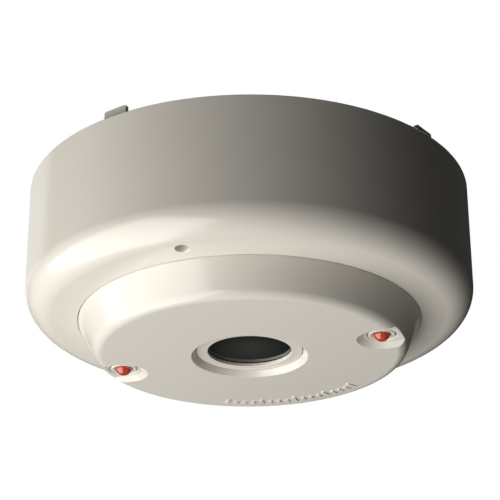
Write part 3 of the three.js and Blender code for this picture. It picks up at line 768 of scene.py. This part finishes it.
def makeCap(s):
    w = s["wall"]
    topR, topZ = s["riserTop"]
    flangeR, flangeLow, flangeHigh = s["flange"]
    shell = turned("cap_shell", [
        (0, faceZ),
        s["edge"],
        (topR, topZ, 0.4),
        (topR, flangeLow, 0.2),
        (flangeR, flangeLow, 0.3),
        (flangeR, flangeHigh, 0.3),
        (topR - w, flangeHigh, 0.3),
        (s["edge"][0] - w, faceZ + w, 0.8),
        (0, faceZ + w),
    ], 256, steps=14)
    nearR, farR = s["collar"]
    collarLow, collarHigh = faceZ + 1, s["collarTop"]
    collar = lathe("collar", [(nearR, collarLow), (farR, collarLow), (farR, collarHigh), (nearR, collarHigh)], 128)
    pads = [cylinder("pad", s["padRadius"], *s["padSpan"], 64, polar(indicatorRadius - 1.5, a)[:2])
            for a in indicatorAzimuths.values()]
    bound = cylinder("bound", s["edge"][0] + 0.1, -45, -30, 128)
    for pad in pads:
        trim = pad.modifiers.new("trim", "BOOLEAN")
        trim.operation, trim.solver, trim.object = "INTERSECT", "EXACT", bound
        applied(pad)
    bpy.data.objects.remove(bound)
    combine(shell, [collar, *pads], "UNION")
    mouthR, mouthFloorR = s["mouthRadius"], s["floorRadius"]
    mouth = turned("mouth", [
        (0, faceZ - 2),
        (mouthR + 2, faceZ - 2),
        (mouthR + 0.35, faceZ - 0.12, 0.1),
        (mouthR, faceZ + 0.12, 0.2),
        (mouthFloorR, faceZ + s["mouthDepth"], 0.02),
        (mouthFloorR, collarHigh + 0.5),
        (0, collarHigh + 0.5),
    ], 192)
    flare = (s["pocketMouth"] - s["pocketFloor"]) / s["pocketDepth"]
    floorZ, hole = faceZ + s["pocketDepth"], s["insertHole"]
    pocket = roundedLine([(0, faceZ - 2), (s["pocketMouth"] + 2 * flare, faceZ - 2),
                          (s["pocketFloor"], floorZ, 0.35), (0, floorZ)], False, 8)
    bore = [(0, faceZ - 1), (hole + 0.35, faceZ - 1), (hole + 0.35, floorZ - 0.05),
            (hole + 0.22, floorZ + 0.03), (hole, floorZ + 0.22), (hole, faceZ + 6), (0, faceZ + 6)]
    tools = [mouth]
    for azimuth in indicatorAzimuths.values():
        place = polar(indicatorRadius, azimuth)[:2]
        tools.append(lathe("pocket", [tuple(p) for p in pocket], 128, place, s["pocketRunOut"]))
        tools.append(lathe("bore", bore, 96, place))
    for azimuth in screwAzimuths.values():
        tools.append(cylinder("notch", s["screwNotch"], *s["notchSpan"], 48, polar(screwRadius, azimuth)[:2]))
    tools.append(cylinder("notch", s["lockNotch"], *s["notchSpan"], 48, polar(lockRadius, lockAzimuth)[:2]))
    combine(shell, tools, "DIFFERENCE")
    return dress(shell, "head", "cover_plastic", ["front_cap"])


def makeTicks(s):
    low, high = s["tickBand"]
    start, end = s["tickSpan"]
    bars = []
    for k in range(s["tickCount"]):
        azimuth = start + (end - start) * k / (s["tickCount"] - 1)
        inner = low if k % 4 == 0 else low + 0.9
        outline = roundedRectangle(s["tickWidth"], high - inner, 0.16, 4, (0, -(high + inner) / 2))
        bar = prism("tick", outline, faceZ - s["tickHeight"], faceZ + 0.3, 0.07, 2)
        bars.append(turnPiece(bar, azimuth))
    return dress(joinMeshes("cap_ticks", bars), "head", "cover_plastic")


makeCap(cap)
makeTicks(cap)
print("cap ready")


# window: bezel and dark pane

bezel = {"outer": 11.72, "inner": 9.3, "faceZ": faceZ + 1.27, "step": 10.9, "top": -37.2, "ledge": -39.6}
pane = {"radius": 10.7, "lowZ": -39.5, "highZ": -38.1, "dish": 0.55, "clearRadius": 9.0}


def makeBezel(s):
    ring = turned("bezel_ring", [
        (s["inner"], s["faceZ"], 0.18),
        (s["outer"], s["faceZ"], 0.08),
        (s["outer"], s["top"], 0.1),
        (s["step"], s["top"], 0.1),
        (s["step"], s["ledge"], 0.1),
        (s["inner"], s["ledge"], 0.12),
    ], 192, closed=True)
    return dress(ring, "head", "cover_plastic", ["window_bezel"])


def makePane(s):
    radius, lowZ, highZ = s["radius"], s["lowZ"], s["highZ"]
    dished = [(s["clearRadius"] * k / 16, lowZ + s["dish"] * (1 - (k / 16) ** 2)) for k in range(17)]
    rim = roundedLine([dished[-1], (radius, lowZ, 0.15), (radius, highZ, 0.15), (0, highZ)], False, 4)[1:]
    piece = lathe("window_pane", dished + [tuple(p) for p in rim], 160)
    return dress(piece, "head", "window_glass", ["sensor_window"])


makeBezel(bezel)
makePane(pane)
print("window ready")


# indicators

insert = {"outer": 2.95, "bore": 1.93, "backBore": 2.2, "floorZ": faceZ + 0.95, "topZ": faceZ + 5.4,
          "coneDepth": 0.3, "stepDepth": 1.3}
lens = {"radius": 1.85, "collar": 2.1, "tipZ": faceZ - 0.25, "baseZ": faceZ + 1.0}


def makeInsert(s, i, azimuth):
    outer, bore, back, low = s["outer"], s["bore"], s["backBore"], s["floorZ"]
    piece = turned(f"led_insert_ring_{i}", [
        (bore, low + s["coneDepth"], 0.08),
        (outer - 0.45, low, 0.12),
        (outer, low + 0.05, 0.2),
        (outer, s["topZ"], 0.1),
        (back, s["topZ"], 0.1),
        (back, low + s["stepDepth"]),
        (bore, low + s["stepDepth"]),
    ], 96, polar(indicatorRadius, azimuth)[:2], True, 6)
    return dress(piece, "head", "insert_plastic", [f"led_insert_{i}"])


def makeLens(s, i, azimuth):
    tip, base = s["tipZ"], s["baseZ"]
    piece = turned(f"led_cone_{i}", [
        (0, tip),
        (0.9, tip + 0.04, 0.8),
        (s["radius"] - 0.02, base - 0.25, 0.9),
        (s["radius"], base + 1.3),
        (s["collar"], base + 1.3, 0.05),
        (s["collar"], base + 2.1, 0.1),
        (0, base + 2.1),
    ], 96, polar(indicatorRadius, azimuth)[:2], steps=10)
    return dress(piece, "head", "lens_plastic", [f"led_lens_{i}"])


for number, indicatorAzimuth in indicatorAzimuths.items():
    makeInsert(insert, number, indicatorAzimuth)
    makeLens(lens, number, indicatorAzimuth)
print("indicators ready")


# mounting base

base = {
    "rimRadius": 46.6, "rimZ": -12.9, "rimWall": 1.4, "discTop": -3.0, "discBottom": -5.0,
    "entryRadius": 12.0, "collarRadius": 13.6, "collarTop": -2.5, "collarBottom": -6.5,
    "slotHalf": 2.1, "slotBossHalf": 4.4, "slotSpan": (21.5, 27.5), "slotAzimuths": (0, 180),
    "bossRadius": 3.4, "bossTop": -0.8, "bossHole": 1.9, "bossHoleTop": -1.6,
    "lugRadius": 3.0, "lugBottom": -13.1, "lugHole": 1.9, "lugHoleTop": -7.0, "lugAzimuth": -0.4,
    "footWidth": 5.9, "footDepth": 0.9, "footFace": 47.3, "footCorner": 0.35,
    "footAzimuths": (-36.5, 53.5, 143.5, 233.5), "recess": (16.5, 20.0), "recessDepth": 0.35,
}
terminalRadius = 37.0
terminalAzimuths = {1: -22, 2: 68, 3: 158, 4: 248}


# a slot's outline with round ends, along the radius
def stadium(half, near, far, steps=16):
    turns = [math.pi * k / steps for k in range(steps + 1)]
    nearEnd = [(half * math.cos(t), half * math.sin(t) - near) for t in turns]
    farEnd = [(-half * math.cos(t), -half * math.sin(t) - far) for t in turns]
    return nearEnd + farEnd


def makeFoot(s, azimuth):
    half, corner = s["footWidth"] / 2, s["footCorner"]
    outline = roundedLine([(-half, s["discBottom"] + 0.3), (half, s["discBottom"] + 0.3), (half, 0, corner),
                           (-half, 0, corner)], True, 5)
    foot = prism("foot", [tuple(p) for p in outline], s["footFace"] - s["footDepth"], s["footFace"], 0.1)
    foot.data.transform(Matrix.Rotation(math.pi / 2, 4, "X"))
    return turnPiece(foot, azimuth)


def makeBase(s):
    rim, low, wall = s["rimRadius"], s["rimZ"], s["rimWall"]
    shell = turned("base_shell", [
        (0, s["discBottom"]),
        (rim - wall, s["discBottom"], 0.6),
        (rim - wall, low, 0.3),
        (rim, low, 0.4),
        (rim, s["discTop"], 0.4),
        (0, s["discTop"]),
    ], 256)
    joins = [turned("collar", [
        (s["entryRadius"] - 1, s["collarBottom"]),
        (s["collarRadius"], s["collarBottom"], 0.3),
        (s["collarRadius"], s["collarTop"], 0.25),
        (s["entryRadius"] - 1, s["collarTop"]),
    ], 128, closed=True, steps=4)]
    for azimuth in s["slotAzimuths"]:
        outline = stadium(s["slotBossHalf"], *s["slotSpan"])
        joins.append(turnPiece(prism("slotBoss", outline, s["discBottom"] + 0.4, 0, 0.25, 3), azimuth))
    buried = s["discBottom"] + 0.4
    terminalPlaces = [polar(terminalRadius, a)[:2] for a in terminalAzimuths.values()]
    for place in terminalPlaces:
        joins.append(turned("boss", [
            (0, buried),
            (s["bossRadius"], buried),
            (s["bossRadius"], s["bossTop"], 0.3),
            (0, s["bossTop"]),
        ], 64, place, steps=4))
    lugPlace = polar(lockRadius, s["lugAzimuth"])[:2]
    joins.append(turned("lug", [
        (0, s["lugBottom"]),
        (s["lugRadius"], s["lugBottom"], 0.25),
        (s["lugRadius"], buried),
        (0, buried),
    ], 64, lugPlace, steps=4))
    joins += [makeFoot(s, azimuth) for azimuth in s["footAzimuths"]]
    combine(shell, joins, "UNION")
    cuts = [cylinder("entry", s["entryRadius"], -9, 1, 128)]
    for azimuth in s["slotAzimuths"]:
        cuts.append(turnPiece(prism("slot", stadium(s["slotHalf"], *s["slotSpan"]), -7, 1.5), azimuth))
    cuts += [cylinder("hole", s["bossHole"], -7, s["bossHoleTop"], 48, place) for place in terminalPlaces]
    cuts.append(cylinder("lugHole", s["lugHole"], -15, s["lugHoleTop"], 48, lugPlace))
    nearR, farR = s["recess"]
    floorZ = s["discTop"] - s["recessDepth"]
    recess = [(nearR, floorZ), (farR, floorZ), (farR + 0.2, -1), (nearR - 0.2, -1)]
    cuts.append(lathe("recess", recess, 160))
    combine(shell, cuts, "DIFFERENCE")
    return dress(shell, "base", "base_plastic", ["base_moulding"])


makeBase(base)
print("base ready")


# screws and the ring seal

screws = {
    "chassis_screw": {"body": "head", "head": (2.9, 2.0), "shank": 1.3, "headZ": -17.7, "tipZ": -27.0,
                      "pitch": 0.8, "radius": screwRadius, "azimuths": screwAzimuths},
    "blade_screw": {"body": "head", "head": (2.3, 1.4), "shank": 1.0, "headZ": -14.0, "tipZ": -19.2,
                    "pitch": 0.6, "radius": 27.5, "azimuths": {1: -60, 2: 30, 3: 120, 4: 210}},
    "terminal_screw": {"body": "terminal", "head": (2.8, 2.0), "shank": 1.45, "headZ": 7.2, "tipZ": 2.2,
                       "pitch": 0.6, "radius": terminalRadius, "azimuths": terminalAzimuths},
}


def threadLine(shank, fromZ, toZ, pitch):
    count = max(1, round((toZ - fromZ) / pitch))
    step = (toZ - fromZ) / count
    line = []
    for k in range(count):
        z = fromZ + k * step
        line += [(shank * 0.84, z), (shank, z + step * 0.4)]
        line += [(shank, z + step * 0.55), (shank * 0.84, z + step * 0.95)]
    return line


def makeScrew(s, name, azimuth):
    headR, headH = s["head"]
    seat = s["headZ"]
    head = roundedLine([
        (s["shank"], seat),
        (headR, seat, 0.12),
        (headR, seat + headH * 0.5, 0.3),
        (headR * 0.78, seat + headH * 0.94, 0.5),
        (0, seat + headH),
    ], False, 5)
    shank = threadLine(s["shank"], s["tipZ"] + 0.5, s["headZ"] - 0.4, s["pitch"])
    piece = lathe(name + "_turned", [(0, s["tipZ"]), (s["shank"] * 0.6, s["tipZ"])] + shank
                  + [(s["shank"] * 0.84, s["headZ"] - 0.2)] + [tuple(p) for p in head], 48)
    reach, half, topZ = headR * 0.6, headR * 0.13, s["headZ"] + headH
    arms = [prism("arm", roundedRectangle(*sides, 0.08, 2), topZ - headH * 0.5, topZ + 1)
            for sides in ((2 * reach, 2 * half), (2 * half, 2 * reach))]
    combine(piece, arms, "DIFFERENCE")
    if s["body"] == "terminal":  # these stand head down, so that the wires are clamped from below
        piece.data.transform(Matrix.Rotation(math.pi, 4, "X"))
    return turnPiece(piece, azimuth, (0, -s["radius"], 0))


def makeScrews():
    for stem, s in screws.items():
        for i, azimuth in s["azimuths"].items():
            body = f"terminal_{i}" if s["body"] == "terminal" else s["body"]
            dress(makeScrew(s, f"{stem}_{i}", azimuth), body, "steel", [f"{stem}_{i}"])


seal = {"radius": 46.0, "section": 0.85, "z": -13.95}


def makeSeal(s):
    line = [(s["radius"] + s["section"] * math.cos(math.tau * k / 20),
             s["z"] + s["section"] * math.sin(math.tau * k / 20)) for k in range(20)]
    return dress(lathe("seal_ring", line, 200), "dust_seal", "rubber", ["dust_seal"])


makeScrews()
makeSeal(seal)
print("screws and seal ready")


# CAD nodes that stay: softened edges and their own finishes

edgeSoftness = {"rear_chassis": 0.25, "contact_blade": 0.12, "contact_strip": 0.08, "terminal_clamp": 0.12,
                "main_pcb": 0.05, "shield_can": 0.25, "microcontroller": 0.1,
                "rating_label": 0.02}


def finishNodes():
    slots = {row["node"]: row["material_slot"] for row in frame["record"]["subparts"]}
    for name, node in nodes.items():
        if node.hide_render:
            continue
        node.data.materials.clear()
        node.data.materials.append(finishes[slotFinish[slots[name]]])
        weld = node.modifiers.new("weld", "WELD")
        weld.merge_threshold = 0.00001
        stem = name.rsplit("_", 1)[0] if name[-1].isdigit() else name
        bevel = node.modifiers.new("softEdges", "BEVEL")
        bevel.width = edgeSoftness.get(stem, 0.06) * mm
        bevel.segments = 2
        bevel.limit_method = "ANGLE"
        bevel.angle_limit = math.radians(40)
        for polygon in node.data.polygons:
            polygon.use_smooth = True
        node.data.set_sharp_from_angle(angle=math.radians(35))
        weighted = node.modifiers.new("evenNormals", "WEIGHTED_NORMAL")
        weighted.keep_sharp = True


finishNodes()
print("kept nodes ready")
